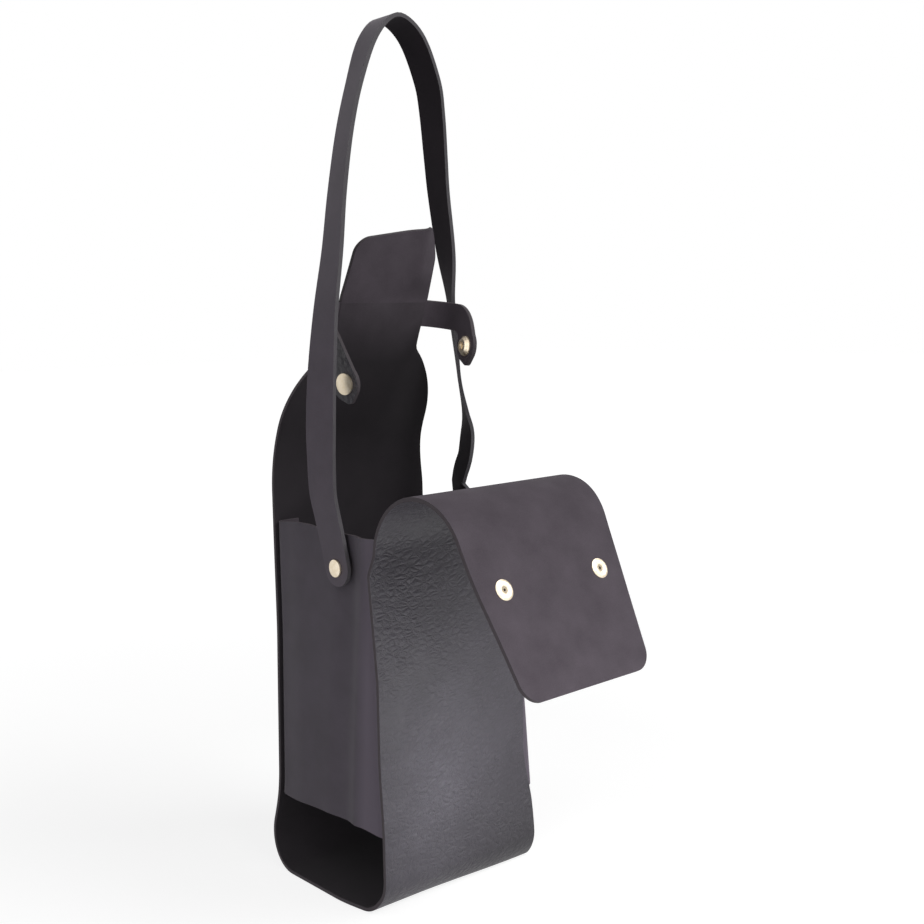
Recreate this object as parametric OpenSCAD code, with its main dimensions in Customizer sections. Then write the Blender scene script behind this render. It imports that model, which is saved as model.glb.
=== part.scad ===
// Open-sided leather carrier with a flap, two snap arms and a riveted strap, drawn with its flap thrown open.
// The front faces -Y, +X is to its right, +Z is up, and the middle of the base rests on the origin.

/* [Body leather] */
// Width of the one long strip that makes flap, front, base and back
body_w = 100; // [90:1:115]
// Depth of the body, from the front face to the back face
body_d = 84; // [80:1:100]
// Thickness of the body leather
hide_t = 2; // [1.6:0.1:2.4]
// Height at which the front panel starts to roll outwards
front_h = 176.5; // [160:0.5:200]
// Height at which the back panel starts to lean forwards
back_h = 200; // [195:1:225]
// Radius of the bend under the front panel
toe_r = 9; // [6:1:14]
// Radius of the bend under the back panel
heel_r = 20; // [16:1:24]
// Length of the slanting leather above the heel
heel_rise = 8; // [4:1:14]
// Angle by which the free heel leather flares backwards
heel_flare = 18; // [8:1:24]

/* [Neck and tongue] */
// Angle by which the neck leans forwards
neck_lean = 22; // [15:1:26]
// Bend radius where the back panel starts to lean
lean_r = 80; // [60:1:100]
// Width of the neck and of the tongue on top of it
neck_w = 56; // [50:1:62]
// Height of the round shoulders' centre above the start of the lean
shoulder_rise = 33; // [32:1:40]
// Length of the neck leather up to the tongue's fold
neck_len = 104; // [100:1:112]
// Length of the tongue above its fold
tongue_len = 34; // [26:1:44]
// Width of the tongue at its free end
tongue_tip_w = 51; // [44:1:56]
// Height by which the tongue's right corner stands above its left corner
tongue_slant = 8; // [0:0.5:12]
// Corner radius of the tongue
tongue_r = 8; // [4:1:12]

/* [Flap] */
// Radius of the roll between front panel and flap
roll_r = 31; // [26:1:34]
// Angle through which the leather rolls when the flap is open
roll_angle = 152; // [140:1:156]
// Length of the flat part of the flap
flap_len = 74; // [66:1:84]
// Width of the flap where its flat part starts
flap_root_w = 97; // [92:1:100]
// Width of the flap at its free end
flap_tip_w = 82; // [76:1:90]
// Distance by which the open flap hangs to the left
flap_sway = 3.5; // [0:0.5:6]
// Corner radius of the flap
flap_r = 9; // [5:1:14]

/* [Arms] */
// Width of each arm's band
arm_w = 14; // [12:0.5:16]
// Width of each arm's leaf shaped end
arm_end_w = 17; // [16:0.5:20]
// Distance from the tongue's fold down to the arms' centre line
arm_drop = 9.5; // [8.5:0.5:14]
// Bend radius of each arm
arm_bend_r = 11; // [9:0.5:12]
// Length of the right arm in front of the neck, up to its downward curve
right_arm_len = 16; // [10:1:24]
// Angle at which the right arm rises where it leaves the neck
right_arm_rise = 16; // [-10:1:24]
// Angle of the right arm's downward curve
right_arm_curve = 74; // [30:1:90]
// Turn of the right arm towards the middle
right_arm_turn = 14; // [0:1:20]
// Length of the left arm in front of the neck, up to its downward curve
left_arm_len = 29; // [20:1:32]
// Angle at which the left arm droops where it leaves the neck
left_arm_droop = 40; // [20:1:44]
// Angle of the left arm's downward curve
left_arm_curve = 12; // [6:1:40]
// Turn of the left arm towards the middle
left_arm_turn = 8; // [0:1:16]
// Radius of the downward curves
hook_r = 12; // [10:0.5:19]
// Length of each arm past the curve, to the middle of its end
hook_len = 5; // [2:0.5:8]

/* [Gussets] */
// Thickness of the gusset leather
gusset_t = 1.6; // [1.2:0.1:2]
// Height of the gussets' lower edge
gusset_low = 41; // [38:1:60]
// Height of the gussets' upper edge
gusset_top = 185; // [182:1:194]
// Width of the flange that is glued inside front and back
flange_w = 12; // [8:1:16]
// Distance by which each gusset stands proud of the strip's edge
gusset_proud = 1; // [0.6:0.1:2]
// Radius of the fold between gusset and flange
gusset_fold_r = 2.6; // [2:0.1:4]

/* [Carry strap] */
// Width of the carry strap
strap_w = 18; // [16:0.5:20]
// Thickness of the carry strap
strap_t = 2; // [1.6:0.1:2.4]
// Height of the strap rivets
rivet_h = 169; // [160:1:174]
// Distance of the strap rivets in front of the middle
rivet_fore = 16; // [8:1:20]
// Height from the rivets to the top of the strap
strap_rise = 264; // [240:1:290]
// Backward lean of the strap at its left rivet
left_end_lean = 15; // [8:1:22]
// Backward lean of the strap at its right rivet
right_end_lean = 48; // [40:1:54]

/* [Rivets and snaps] */
// Diameter of the strap rivets' heads
rivet_head_d = 8.5; // [7.5:0.1:10]
// Diameter of the strap rivets' shanks
rivet_shank_d = 3; // [2.6:0.1:3.4]
// Diameter of the snap caps and sockets on the arms
snap_d = 10.5; // [9.5:0.1:11.5]
// Diameter of the eyelets and stud flanges on the flap
eyelet_d = 9.6; // [9:0.1:10.5]
// Diameter of the stud that snaps into a socket
stud_d = 3.6; // [3.4:0.1:4.4]
// Height of the stud's nib
stud_h = 2; // [1.8:0.1:2.8]
// Distance of the flap snaps from the flap's middle line
flap_snap_x = 31; // [26:0.5:33]
// Distance of the flap snaps from the flap's free end
flap_snap_rise = 50; // [44:1:56]

/* [Hidden] */
$fn = 64;

// Gap at each fold line, so that the folding piece turns freely
fold_gap = 0.3;
// Gap between pieces that turn on each other
turn_gap = 0.3;
// Gap round a shank or barrel in its hole
shank_gap = 0.1;
// Overrun of every cut
cut = 1;
// Turn of the leather from one facet of a bend to the next
bend_turn = 3;

// Colours of the leather faces and the metal
wrap_color = [0.20, 0.19, 0.21];
soft_color = [0.26, 0.25, 0.27];
metal_color = [0.87, 0.80, 0.62];

// The strip's middle surface lies half a thickness inside each face
front_y = -(body_d - hide_t) / 2;
back_y = (body_d - hide_t) / 2;
base_z = hide_t / 2;

// Side profile of the front, base and back: each step is [straight length, bend radius, bend angle]
heel_back = heel_r * cos(heel_flare) - heel_rise * sin(heel_flare) - heel_r * (1 - cos(heel_flare));
heel_top = base_z + heel_r * (1 + sin(heel_flare)) + heel_rise * cos(heel_flare) + heel_r * sin(heel_flare);
base_len = back_y - front_y - toe_r - heel_back;
body_steps = [
    [front_h - base_z - toe_r, toe_r, 90],
    [base_len, heel_r, 90 + heel_flare],
    [heel_rise, heel_r, -heel_flare],
    [back_h - heel_top, lean_r, neck_lean]];

// The fold lines cut the roll of the flap a quarter and three quarters of the way round
fold_turn = (hide_t / 2 + fold_gap) / roll_r * 180 / PI;
first_fold = roll_angle / 4;
second_fold = roll_angle * 3 / 4;

// Places of the fold lines and panels on the side profile, as [y, z, heading]
front_start = [front_y, front_h, 90];
first_place = along(front_start, [[0, roll_r, first_fold]]);
arch_end = along(front_start, [[0, roll_r, first_fold - fold_turn]]);
second_place = along(front_start, [[0, roll_r, second_fold]]);
flap_place = along(front_start, [[0, roll_r, roll_angle]]);
neck_place = along([front_y, front_h, 270], body_steps);
lean_len = lean_r * neck_lean * PI / 180;
shoulder_up = max(shoulder_rise - lean_len, cut);
fold_up = neck_len - lean_len;
tongue_place = along(neck_place, [[fold_up, 0, 0]]);

// The arms, in the neck's own plane: x outwards, y up, z forwards
arm_up = fold_up - arm_drop;
arm_root = neck_w / 2 + fold_gap + hide_t / 2;
arm_face = arm_root + arm_bend_r;
arm_end_r = arm_end_w / 2;
arm_tip_r = arm_end_w * 0.19;
arm_tip_len = arm_end_w * 0.4;

// The gussets and what is riveted to them
gusset_face = body_w / 2 + gusset_proud;
strap_in = gusset_face + turn_gap;
strap_mid = strap_in + strap_t / 2;
strap_out = strap_in + strap_t;
rivet_head_t = rivet_head_d / 5;
rivet_disc_t = rivet_head_d / 10;
strap_end_below = strap_w * 0.6;
strap_end_above = strap_w * 0.65;

// The snaps
snap_disc_t = snap_d / 13;
snap_dome_t = snap_d / 7;
socket_t = stud_h + snap_disc_t * 0.4;
socket_hole_d = stud_d + 2 * turn_gap;
spring_wire = stud_d / 9;
barrel_d = stud_d * 0.64;
eyelet_hole_d = eyelet_d * 0.14;

// The strap's route from the left rivet over the top to the right rivet. Each point is a share of the
// half width at the rivets, of the body's depth, and of the strap's rise, with the turn of its width.
strap_route_share = [
    [-1.000, -0.124, 0.078, -2], [-1.040, -0.105, 0.130, -4], [-1.050, -0.105, 0.190, -6],
    [-1.055, -0.115, 0.260, -9], [-1.030, -0.120, 0.355, -6], [-0.955, -0.110, 0.465, 2],
    [-0.835, -0.088, 0.572, 8], [-0.740, -0.068, 0.675, 12], [-0.612, -0.048, 0.784, 14],
    [-0.465, -0.032, 0.872, 14], [-0.270, -0.018, 0.958, 8], [-0.020, -0.010, 1.000, 3],
    [0.262, -0.005, 0.972, 0], [0.470, 0.006, 0.898, 0], [0.570, 0.036, 0.841, 2],
    [0.680, 0.088, 0.758, 5], [0.745, 0.112, 0.689, 8], [0.845, 0.125, 0.576, 14],
    [0.930, 0.148, 0.485, 33], [1.000, 0.158, 0.400, 38], [1.070, 0.170, 0.318, 42],
    [1.140, 0.165, 0.250, 36], [1.135, 0.148, 0.205, 24], [1.088, 0.138, 0.160, 22],
    [1.080, 0.182, 0.125, 22], [1.075, 0.202, 0.093, 24], [1.044, 0.104, 0.060, 11],
    [1.012, -0.035, 0.035, 9]];
route_steps = 3;

// A point of the side profile after some steps: [y, z, heading]
function bend_end(p, r, a) =
    let (s = a < 0 ? -1 : 1, h = p[2])
    [p[0] - s * r * sin(h) + s * r * sin(h + a), p[1] + s * r * cos(h) - s * r * cos(h + a), h + a];
function along(p, steps, i = 0) =
    i == len(steps) ? p :
    along(bend_end([p[0] + steps[i][0] * cos(p[2]), p[1] + steps[i][0] * sin(p[2]), p[2]],
        steps[i][1], steps[i][2]), steps, i + 1);

// A smooth curve through the route's points, after Catmull and Rom
function blend4(a, b, c, d, t) =
    0.5 * (2 * b + (c - a) * t + (2 * a - 5 * b + 4 * c - d) * t * t + (3 * b - a - 3 * c + d) * t * t * t);
function unit(v) = v / norm(v);

// Moves and turns to a place on the side profile, with y along the leather and z to its left
module at_place(p) {
    translate([0, p[0], p[1]]) rotate([p[2], 0, 0]) children();
}

// Points on an arc, from angle a to angle b
function arc(x, y, r, a, b) =
    let (n = ceil(abs(b - a) / bend_turn))
    [for (k = [0 : n]) [x, y] + r * [cos(a + (b - a) * k / n), sin(a + (b - a) * k / n)]];

// Points of one face of a leather line, d to the left of its middle
function face_point(p, d) = [p[0] - d * sin(p[2]), p[1] + d * cos(p[2])];
function face_points(p, steps, d, i = 0) =
    i == len(steps) ? [face_point(p, d)] :
    let (
        s = steps[i],
        q = [p[0] + s[0] * cos(p[2]), p[1] + s[0] * sin(p[2]), p[2]],
        n = ceil(abs(s[2]) / bend_turn),
        start = s[0] > 0 ? [face_point(p, d)] : [],
        bend = [for (k = [0 : 1 : n - 1]) face_point(bend_end(q, s[1], s[2] * k / n), d)])
    concat(start, bend, face_points(bend_end(q, s[1], s[2]), steps, d, i + 1));
function backwards(list) = [for (k = [len(list) - 1 : -1 : 0]) list[k]];

// Leather in side view, t thick: straight lengths and bends from a start, which is round at a fold line
module leather_line(t, steps, start = [0, 0, 0], at_fold = false) {
    fold = at_fold ? arc(start[0], start[1], t / 2, start[2] + 90 + bend_turn, start[2] + 270 - bend_turn) : [];
    polygon(concat(face_points(start, steps, -t / 2), backwards(face_points(start, steps, t / 2)), fold));
}

// The same leather as a strip of width w across the side profile
module leather_strip(w, t, steps, start, at_fold = false) {
    translate([-w / 2, 0, 0]) rotate([90, 0, 90]) linear_extrude(w) leather_line(t, steps, start, at_fold);
}

// Hole across a sheet that lies in the xy plane
module sheet_hole(x, y, d) {
    translate([x, y, -hide_t / 2 - cut]) cylinder(h = hide_t + 2 * cut, d = d);
}

// Front, base and back in one strip, cut to the round shoulders and the neck
module body_wrap() {
    top = fold_up - hide_t / 2 - fold_gap;
    start = [arch_end[0], arch_end[1], arch_end[2] + 180];
    color(wrap_color) difference() {
        leather_strip(body_w, hide_t, concat([[0, roll_r, fold_turn - first_fold]], body_steps, [[top, 0, 0]]), start);
        at_place(neck_place) translate([0, 0, -hide_t]) linear_extrude(2 * hide_t) difference() {
            translate([-body_w, shoulder_up]) square([2 * body_w, top]);
            translate([0, shoulder_up]) circle(body_w / 2);
            translate([-neck_w / 2, 0]) square([neck_w, top + cut]);
        }
    }
}

// Middle of the roll between front panel and flap
module flap_roll() {
    color(wrap_color)
        leather_strip(body_w, hide_t, [[0, roll_r, second_fold - first_fold - fold_turn]], first_place, true);
}

// Outline of a free end that narrows from root_w to tip_w and has rounded corners, moved sideways by sway.
// Its end rises by slant from the left corner to the right one.
module tab_outline(root_w, tip_w, length, r, sway, slant, below) {
    slope = atan((root_w - tip_w) / 2 / (length - r));
    tilt = atan(slant / tip_w);
    cx = tip_w / 2 - r;
    cy = length - r / cos(tilt);
    translate([-sway, 0]) polygon(concat(
        [[-root_w / 2, 0]], below, [[root_w / 2, 0]],
        arc(cx, cy + cx * tan(tilt), r, slope, 90 + tilt), arc(-cx, cy - cx * tan(tilt), r, 90 + tilt, 180 - slope)));
}

// Outline of the flap, which starts with the full width of the strip and hangs to the left
module flap_outline() {
    half = body_w / 2 + cut;
    tab_outline(flap_root_w, flap_tip_w, flap_len, flap_r, flap_sway, 0,
        [[flap_sway - half, -roll_r], [flap_sway - half, -2 * roll_r],
        [flap_sway + half, -2 * roll_r], [flap_sway + body_w / 2, -roll_r]]);
}

// Flap from the second fold line to its free end, with a hole for each stud
module closing_flap() {
    color(wrap_color) difference() {
        intersection() {
            leather_strip(body_w, hide_t, [[0, roll_r, roll_angle - second_fold], [flap_len, 0, 0]], second_place, true);
            at_place(flap_place) translate([0, 0, -roll_r]) linear_extrude(2 * roll_r) flap_outline();
        }
        at_place(flap_place) for (side = [-1, 1])
            sheet_hole(side * flap_snap_x - flap_sway, flap_len - flap_snap_rise, barrel_d + 2 * shank_gap);
    }
}

// Tongue that folds forwards over the mouth
module top_tongue() {
    half = neck_w / 2 + cut;
    color(wrap_color) intersection() {
        leather_strip(neck_w, hide_t, [[tongue_len + tongue_slant, 0, 0]], tongue_place, true);
        at_place(tongue_place) translate([0, 0, -hide_t]) linear_extrude(2 * hide_t)
            tab_outline(neck_w, tongue_tip_w, tongue_len, tongue_r, 0, tongue_slant, [[-half, -hide_t], [half, -hide_t]]);
    }
}

// Turns an arm and its snap to the side that they belong to, about the arm's fold line
module arm_place(side) {
    turn = side > 0 ? right_arm_turn : left_arm_turn;
    at_place(neck_place) mirror([side < 0 ? 1 : 0, 0, 0])
        translate([arm_root, 0, 0]) rotate([0, -turn, 0]) translate([-arm_root, 0, 0]) children();
}

// Each arm's centre line in side view, where x is forwards and y is up, and the middle of its end
function arm_start(side) = [0, arm_up, side > 0 ? right_arm_rise : -left_arm_droop];
function arm_steps(side) = [
    [side > 0 ? right_arm_len : left_arm_len, hook_r, side > 0 ? -right_arm_curve : -left_arm_curve],
    [hook_len, 0, 0]];
function arm_end(side) = along(arm_start(side), arm_steps(side));

// Side view of an arm: a band that curves down to a leaf shaped end
module arm_outline(side) {
    b = arm_end(side);
    slope = asin((arm_end_r - arm_tip_r) / arm_tip_len);
    leather_line(arm_w, concat([[2 * hide_t, 0, 0]], arm_steps(side)), along(arm_start(side), [[-2 * hide_t, 0, 0]]));
    translate([b[0], b[1]]) rotate(b[2]) polygon(concat(
        arc(0, 0, arm_end_r, 90 - slope, 270 + slope), arc(arm_tip_len, 0, arm_tip_r, slope - 90, 90 - slope)));
}

// Arm in the right arm's place: a band that bends forwards, cut to its outline
module arm_shape(side) {
    b = arm_end(side);
    reach = b[0] + 2 * arm_end_w;
    top = arm_up + arm_w + arm_end_w;
    low = b[1] - 2 * arm_end_w;
    difference() {
        intersection() {
            translate([arm_root, top, 0]) rotate([90, 0, 0]) linear_extrude(top - low)
                leather_line(hide_t, [[0, arm_bend_r, 90], [reach - arm_bend_r, 0, 0]], at_fold = true);
            translate([arm_face + hide_t, 0, 0]) rotate([0, -90, 0]) linear_extrude(arm_bend_r + 3 * hide_t)
                arm_outline(side);
        }
        translate([arm_face - hide_t / 2 - cut, b[1], b[0]]) rotate([0, 90, 0])
            cylinder(h = hide_t + 2 * cut, d = barrel_d + 2 * shank_gap);
    }
}

module left_arm() {
    color(wrap_color) arm_place(-1) arm_shape(-1);
}

module right_arm() {
    color(wrap_color) arm_place(1) arm_shape(1);
}

// Gusset in the right gusset's place: a web with a flange folded in at the front and at the back
module gusset() {
    web_x = gusset_face - gusset_t / 2;
    web_y = (body_d / 2 - hide_t) - gusset_t / 2 - gusset_fold_r;
    flange_len = web_x - gusset_fold_r - (body_w / 2 - flange_w);
    difference() {
        translate([web_x - gusset_fold_r - flange_len, -web_y - gusset_fold_r, gusset_low])
            linear_extrude(gusset_top - gusset_low) leather_line(gusset_t,
                [[flange_len, gusset_fold_r, 90], [2 * web_y, gusset_fold_r, 90], [flange_len, 0, 0]]);
        translate([web_x - gusset_t - cut, -rivet_fore, rivet_h]) rotate([0, 90, 0])
            cylinder(h = 2 * (gusset_t + cut), d = rivet_shank_d + 2 * shank_gap);
    }
}

module left_gusset() {
    color(soft_color) mirror([1, 0, 0]) gusset();
}

module right_gusset() {
    color(soft_color) gusset();
}

// Places on the strap's route, and the four corners of its section there
function route_point(i) =
    let (s = strap_route_share[i])
    [s[0] * strap_mid, s[1] * body_d, rivet_h + s[2] * strap_rise, s[3]];
function route_at(i, t) =
    let (n = len(strap_route_share) - 1)
    blend4(route_point(max(i - 1, 0)), route_point(i), route_point(min(i + 1, n)), route_point(min(i + 2, n)), t);

// Last section of the ribbon on each side, where it meets the flat end
function strap_end_row(side, lean) = [
    [side * strap_mid, -rivet_fore + (strap_end_above - cut) * sin(lean), rivet_h + (strap_end_above - cut) * cos(lean)],
    [0, cos(lean), -sin(lean)], [-side, 0, 0]];

// Flat end of the strap round its rivet, in the right end's place
module strap_end(lean) {
    translate([strap_in, -rivet_fore, rivet_h]) rotate([-lean, 0, 0]) rotate([90, 0, 90])
        linear_extrude(strap_t) {
            translate([-strap_w / 2, strap_end_above]) mirror([0, 1]) square([strap_w, strap_end_above]);
            circle(d = strap_w);
        }
}

// Carry strap: a ribbon along its route, with both ends flat against the gussets
module carry_strap() {
    last = len(strap_route_share) - 1;
    points = [for (i = [0 : last - 1]) for (k = [0 : route_steps - 1]) route_at(i, k / route_steps), route_at(last - 1, 1)];
    n = len(points) - 1;
    place = [for (p = points) [p[0], p[1], p[2]]];
    run = [for (i = [0 : n]) unit(place[min(i + 1, n)] - place[max(i - 1, 0)])];
    wide = [for (i = [0 : n]) let (a = points[i][3], w = [sin(a), cos(a), 0]) unit(w - (w * run[i]) * run[i])];
    side = [for (i = [0 : n]) cross(wide[i], run[i])];
    rows = concat(
        [strap_end_row(-1, left_end_lean)],
        [for (i = [1 : n - 1]) [place[i], wide[i], side[i]]],
        [strap_end_row(1, right_end_lean)]);
    corners = [for (r = rows) for (c = [[-1, -1], [1, -1], [1, 1], [-1, 1]])
        r[0] + c[0] * strap_w / 2 * r[1] + c[1] * strap_t / 2 * r[2]];
    m = len(rows) - 1;
    walls = [for (i = [0 : m - 1]) for (k = [0 : 3]) for (half = [0, 1])
        let (a = 4 * i + k, b = 4 * i + (k + 1) % 4)
        half == 0 ? [a, b, b + 4] : [a, b + 4, a + 4]];
    caps = [[0, 2, 1], [0, 3, 2], [4 * m, 4 * m + 1, 4 * m + 2], [4 * m, 4 * m + 2, 4 * m + 3]];
    color(soft_color) difference() {
        union() {
            polyhedron(corners, concat(walls, caps));
            mirror([1, 0, 0]) strap_end(left_end_lean);
            strap_end(right_end_lean);
        }
        for (x = [-1, 1]) translate([x * strap_mid - strap_t, -rivet_fore, rivet_h]) rotate([0, 90, 0])
            cylinder(h = 2 * strap_t, d = rivet_shank_d + 2 * shank_gap);
    }
}

// Turns to a rivet's own axis: z points out of the body on that side
module rivet_place(side) {
    mirror([side < 0 ? 1 : 0, 0, 0]) translate([0, -rivet_fore, rivet_h]) rotate([0, 90, 0]) children();
}

// Outer half of a strap rivet: a low domed head on a shank
module rivet_cap(side) {
    head_z = strap_out + turn_gap;
    dome_r = (rivet_head_d * rivet_head_d / 4 + rivet_disc_t * rivet_disc_t) / (2 * rivet_disc_t);
    color(metal_color) rivet_place(side) {
        translate([0, 0, head_z]) cylinder(h = rivet_disc_t, d = rivet_head_d);
        translate([0, 0, head_z + rivet_disc_t]) intersection() {
            translate([0, 0, rivet_disc_t - dome_r]) sphere(dome_r);
            cylinder(h = rivet_head_t, d = rivet_head_d);
        }
        translate([0, 0, gusset_face - gusset_t - rivet_disc_t])
            cylinder(h = head_z - gusset_face + gusset_t + 1.5 * rivet_disc_t, d = rivet_shank_d);
    }
}

// Inner half of a strap rivet: a disc with a hub that grips the shank
module rivet_base(side) {
    seat = gusset_face - gusset_t;
    color(metal_color) rivet_place(side) difference() {
        translate([0, 0, seat - rivet_head_t]) cylinder(h = rivet_head_t, d = rivet_head_d);
        translate([0, 0, seat - rivet_disc_t]) cylinder(h = rivet_disc_t + cut, d = rivet_shank_d + 2 * shank_gap);
    }
}

module left_rivet_cap() {
    rivet_cap(-1);
}

module left_rivet_base() {
    rivet_base(-1);
}

module right_rivet_cap() {
    rivet_cap(1);
}

module right_rivet_base() {
    rivet_base(1);
}

// Turns to an arm snap's own axis: z points out of the arm's outer face, and 0 is the leather's middle
module arm_snap_place(side) {
    b = arm_end(side);
    arm_place(side) translate([arm_face, b[1], b[0]]) rotate([0, 90, 0]) children();
}

// Cap on the arm's outer face, with its barrel through the leather
module arm_snap_cap(side) {
    dome_r = (snap_d * snap_d / 4 + snap_disc_t * snap_disc_t) / (2 * snap_disc_t);
    color(metal_color) arm_snap_place(side) {
        translate([0, 0, hide_t / 2]) cylinder(h = snap_disc_t, d = snap_d);
        translate([0, 0, hide_t / 2 + snap_disc_t]) intersection() {
            translate([0, 0, snap_disc_t - dome_r]) sphere(dome_r);
            cylinder(h = snap_dome_t, d = snap_d);
        }
        translate([0, 0, -hide_t / 2 - snap_disc_t]) cylinder(h = hide_t + snap_disc_t, d = barrel_d);
    }
}

// Socket on the arm's inner face: a round box, open to take the stud
module arm_snap_socket(side) {
    color(metal_color) arm_snap_place(side) mirror([0, 0, 1]) translate([0, 0, hide_t / 2]) difference() {
        union() {
            cylinder(h = snap_disc_t * 0.6, d = snap_d);
            translate([0, 0, snap_disc_t * 0.5]) cylinder(h = socket_t - snap_disc_t * 0.5, d1 = snap_d * 0.96, d2 = snap_d * 0.66);
        }
        translate([0, 0, -cut]) cylinder(h = snap_disc_t + 2 * cut, d = barrel_d + 2 * shank_gap);
        translate([0, 0, snap_disc_t + shank_gap]) cylinder(h = socket_t, d = socket_hole_d);
        translate([0, 0, socket_t / 2 + snap_disc_t / 2]) rotate_extrude() translate([socket_hole_d / 2, 0]) circle(d = spring_wire + 2 * shank_gap);
    }
}

// Split wire ring inside the socket, which grips the stud
module arm_snap_spring(side) {
    color(metal_color) arm_snap_place(side) mirror([0, 0, 1]) translate([0, 0, hide_t / 2 + socket_t / 2 + snap_disc_t / 2])
        rotate_extrude(angle = 330) translate([socket_hole_d / 2 + shank_gap, 0]) circle(d = spring_wire, $fn = 24);
}

module left_arm_snap_cap() {
    arm_snap_cap(-1);
}

module left_arm_snap_socket() {
    arm_snap_socket(-1);
}

module left_arm_snap_spring() {
    arm_snap_spring(-1);
}

module right_arm_snap_cap() {
    arm_snap_cap(1);
}

module right_arm_snap_socket() {
    arm_snap_socket(1);
}

module right_arm_snap_spring() {
    arm_snap_spring(1);
}

// Turns to a flap snap's own axis: z points out of the grain face, and 0 is the leather's middle
module flap_snap_place(side) {
    at_place(flap_place) translate([side * flap_snap_x - flap_sway, flap_len - flap_snap_rise, 0]) children();
}

// Stud on the flap's grain face: a flange and a nib with a waist
module flap_stud(side) {
    r = stud_d / 2;
    bore = barrel_d / 2 + shank_gap;
    nib = stud_h - snap_disc_t;
    color(metal_color) flap_snap_place(side) translate([0, 0, hide_t / 2]) rotate_extrude() difference() {
        polygon([[0, 0], [eyelet_d * 0.45, 0], [eyelet_d * 0.45, snap_disc_t], [r * 0.88, snap_disc_t + nib * 0.15],
            [r * 0.88, snap_disc_t + nib * 0.35], [r, snap_disc_t + nib * 0.6], [r, snap_disc_t + nib * 0.84],
            [r * 0.86, stud_h], [0, stud_h]]);
        translate([0, -cut]) square([bore, stud_h * 0.8 + cut]);
    }
}

// Eyelet on the flap's inner face: a ring whose barrel passes through the leather into the stud
module flap_eyelet(side) {
    color(metal_color) flap_snap_place(side) mirror([0, 0, 1]) difference() {
        union() {
            translate([0, 0, hide_t / 2]) rotate_extrude() polygon([[0, 0], [eyelet_d / 2, 0], [eyelet_d / 2, snap_disc_t * 0.4],
                [eyelet_d * 0.4, snap_disc_t], [eyelet_d * 0.22, snap_disc_t], [eyelet_d * 0.14, snap_disc_t * 0.5], [0, snap_disc_t * 0.5]]);
            translate([0, 0, -hide_t / 2 - stud_h * 0.6]) cylinder(h = hide_t + stud_h * 0.6 + snap_disc_t * 0.4, d = barrel_d);
        }
        translate([0, 0, -hide_t / 2 - stud_h]) cylinder(h = hide_t + 2 * stud_h, d = eyelet_hole_d);
    }
}

module left_flap_stud() {
    flap_stud(-1);
}

module left_flap_eyelet() {
    flap_eyelet(-1);
}

module right_flap_stud() {
    flap_stud(1);
}

module right_flap_eyelet() {
    flap_eyelet(1);
}

body_wrap();
flap_roll();
closing_flap();
top_tongue();
left_arm();
right_arm();
left_gusset();
right_gusset();
carry_strap();
left_rivet_cap();
left_rivet_base();
right_rivet_cap();
right_rivet_base();
left_arm_snap_cap();
left_arm_snap_socket();
left_arm_snap_spring();
right_arm_snap_cap();
right_arm_snap_socket();
right_arm_snap_spring();
left_flap_stud();
left_flap_eyelet();
right_flap_stud();
right_flap_eyelet();
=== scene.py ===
# %% [markdown]
# # Dressing a leather carrier
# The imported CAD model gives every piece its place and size. This notebook cuts each piece of
# leather again as a flat blank with real thickness, bends it into place, and finishes it with
# grain, nap, cut edges and brass. All lengths are written in millimetres, as a leather worker
# would mark them, and become metres when a mesh is stored.

# %% The frame
from math import sin, cos, tan, asin, atan2, pi, radians, degrees, sqrt

import bpy
import bmesh
from mathutils import Vector, Matrix, noise


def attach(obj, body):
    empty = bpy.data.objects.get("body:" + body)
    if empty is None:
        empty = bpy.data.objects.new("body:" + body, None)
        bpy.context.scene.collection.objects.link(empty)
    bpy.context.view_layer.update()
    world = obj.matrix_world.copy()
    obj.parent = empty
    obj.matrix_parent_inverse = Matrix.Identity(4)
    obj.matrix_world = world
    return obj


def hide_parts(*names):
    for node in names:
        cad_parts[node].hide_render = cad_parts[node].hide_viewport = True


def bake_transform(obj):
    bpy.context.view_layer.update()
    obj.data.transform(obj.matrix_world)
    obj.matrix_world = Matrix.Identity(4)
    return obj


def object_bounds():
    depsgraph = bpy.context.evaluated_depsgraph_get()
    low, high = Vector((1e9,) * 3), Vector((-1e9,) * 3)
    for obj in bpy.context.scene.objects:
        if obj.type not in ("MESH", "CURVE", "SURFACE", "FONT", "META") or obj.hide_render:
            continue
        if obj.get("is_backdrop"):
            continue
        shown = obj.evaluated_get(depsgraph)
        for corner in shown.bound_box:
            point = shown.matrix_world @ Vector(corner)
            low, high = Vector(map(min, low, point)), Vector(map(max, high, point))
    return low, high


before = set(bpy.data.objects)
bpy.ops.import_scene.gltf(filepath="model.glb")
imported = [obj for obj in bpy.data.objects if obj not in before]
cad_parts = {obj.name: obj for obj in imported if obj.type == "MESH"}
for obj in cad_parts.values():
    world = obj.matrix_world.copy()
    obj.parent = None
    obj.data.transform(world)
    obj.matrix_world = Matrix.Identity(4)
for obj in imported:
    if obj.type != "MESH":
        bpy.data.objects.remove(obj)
cad_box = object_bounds()
MM = 0.001
print("CAD box in mm:", [[round(c / MM, 1) for c in corner] for corner in cad_box])


def put(name, data):
    """Makes an object of a mesh, a lamp or a camera and puts it in the scene."""
    obj = bpy.data.objects.new(name, data)
    bpy.context.scene.collection.objects.link(obj)
    return obj


# %% [markdown]
# ## How a piece of leather is made here
# On the bench, leather is cut flat, its edges are eased, its holes are punched, and only then is
# it bent. A mesh can be made in that order too. A grid is pulled to the outline, solidified to
# the thickness of the hide, bevelled round its rim and punched, all in the flat, where each step
# is simple. The last step sends every point (across, along, through) to its place in space. The
# flat position is kept as the UV map, so grain never stretches round a bend.

# %% Cutting a flat blank
UPRIGHT = 0.7  # a face whose normal stands this upright is a flat face, not a cut edge
SHARP = radians(50)
PUNCH_DEPTH = 20.0


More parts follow.
